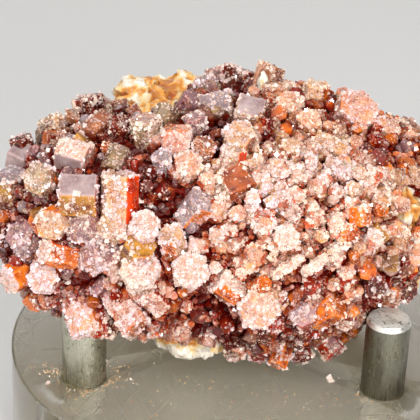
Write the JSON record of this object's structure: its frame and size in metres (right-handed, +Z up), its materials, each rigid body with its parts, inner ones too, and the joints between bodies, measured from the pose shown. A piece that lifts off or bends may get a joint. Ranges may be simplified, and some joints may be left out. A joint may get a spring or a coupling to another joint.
{
  "type": "vanadinite specimen on a pin stand",
  "caption": "Cluster of red hexagonal crystals on pale rock, resting on steel pins in a thick clear round base.",
  "frame": {"origin": "centre of the round base's underside", "axes": "+Z up; +X to the right and +Y away from the side that the picture shows; the three pins stand at 90, 210 and 330 degrees from +X"},
  "size_m": [0.0673, 0.0636, 0.052],
  "materials": {
    "clear_base": "clear polished acrylic with fine scratches",
    "steel": "ground steel with dark pits",
    "rock": "rough cream rock with orange stain",
    "crystal": "glossy red-orange crystals under a pink sugary coat"
  },
  "bodies": {
    "root": {"stand_base": "clear_base", "pin_left": "steel", "pin_right": "steel", "pin_back": "steel", "host_rock": "rock", "vanadinite_crystals": "crystal"}
  },
  "joints": []
}
